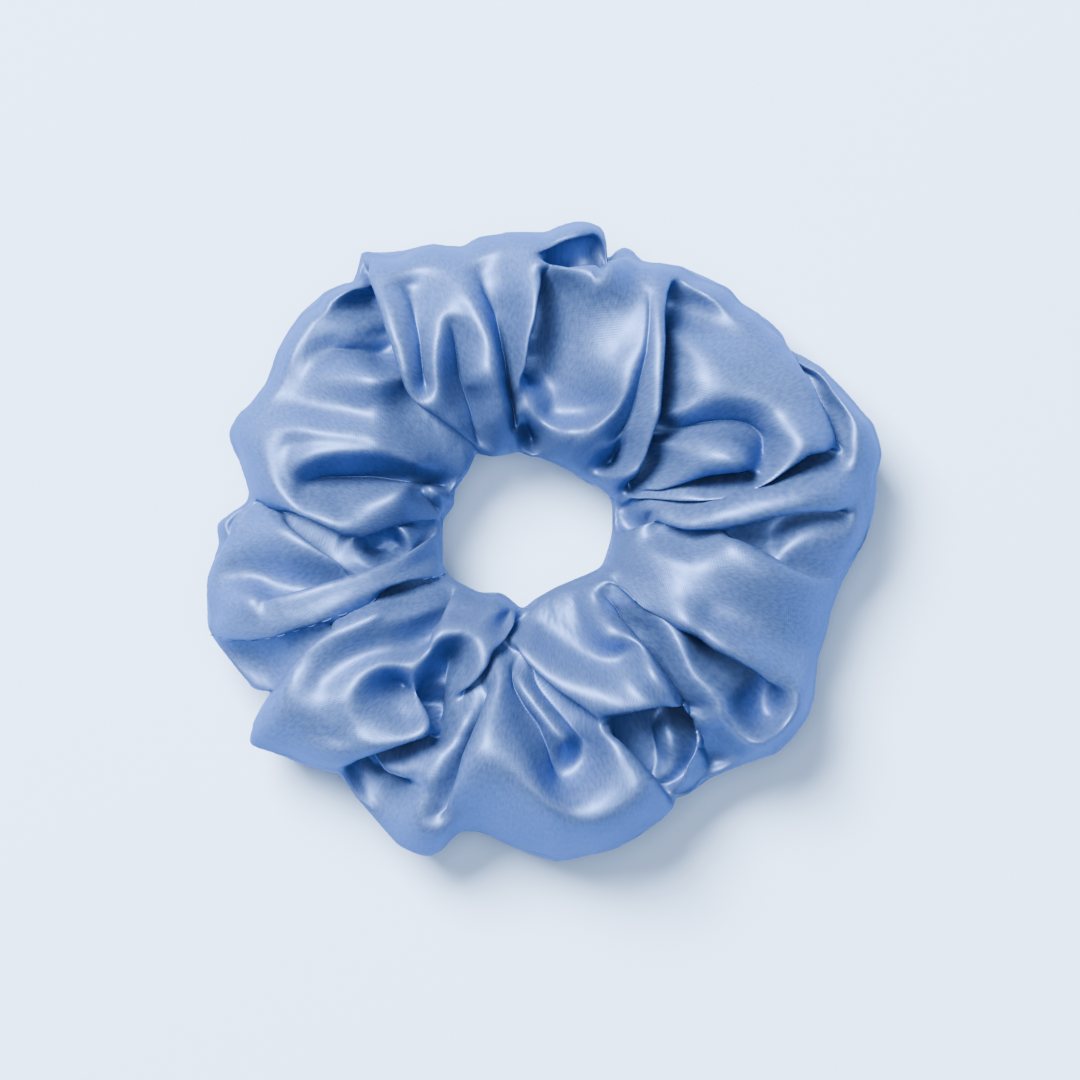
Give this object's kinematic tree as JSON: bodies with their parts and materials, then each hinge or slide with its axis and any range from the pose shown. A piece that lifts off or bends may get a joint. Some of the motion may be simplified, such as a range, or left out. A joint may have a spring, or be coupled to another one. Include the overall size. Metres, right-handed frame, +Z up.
{
  "type": "scrunchie",
  "caption": "Gathered satin hair tie: a puffy ring of cloth folded over a hidden loop of braided elastic, lying flat.",
  "frame": {"origin": "middle of the bottom of the ring's box, on the surface that the scrunchie lies on", "axes": "+Z up along the hair hole; +X and +Y across the ring, with the closing seam towards -X"},
  "size_m": [0.1188, 0.1124, 0.0351],
  "materials": {
    "satin": "satin",
    "thread": "matte",
    "braid": "matte",
    "rubber": "matte",
    "join_thread": "matte"
  },
  "bodies": {
    "cover": {"satin_cover": "satin", "long_seam_thread": "thread", "closing_seam_thread": "thread"},
    "elastic": {"elastic_braid": "braid", "rubber_cord_1": "rubber", "rubber_cord_2": "rubber", "rubber_cord_3": "rubber", "rubber_cord_4": "rubber", "rubber_cord_5": "rubber", "rubber_cord_6": "rubber", "elastic_join_thread": "join_thread"}
  },
  "joints": [
    {"name": "elastic_slip", "type": "hinge", "parent": "cover", "child": "elastic", "pos_m": [-0.0026, 0.0017, 0.017], "axis": [0, 0, 1], "continuous": true}
  ]
}
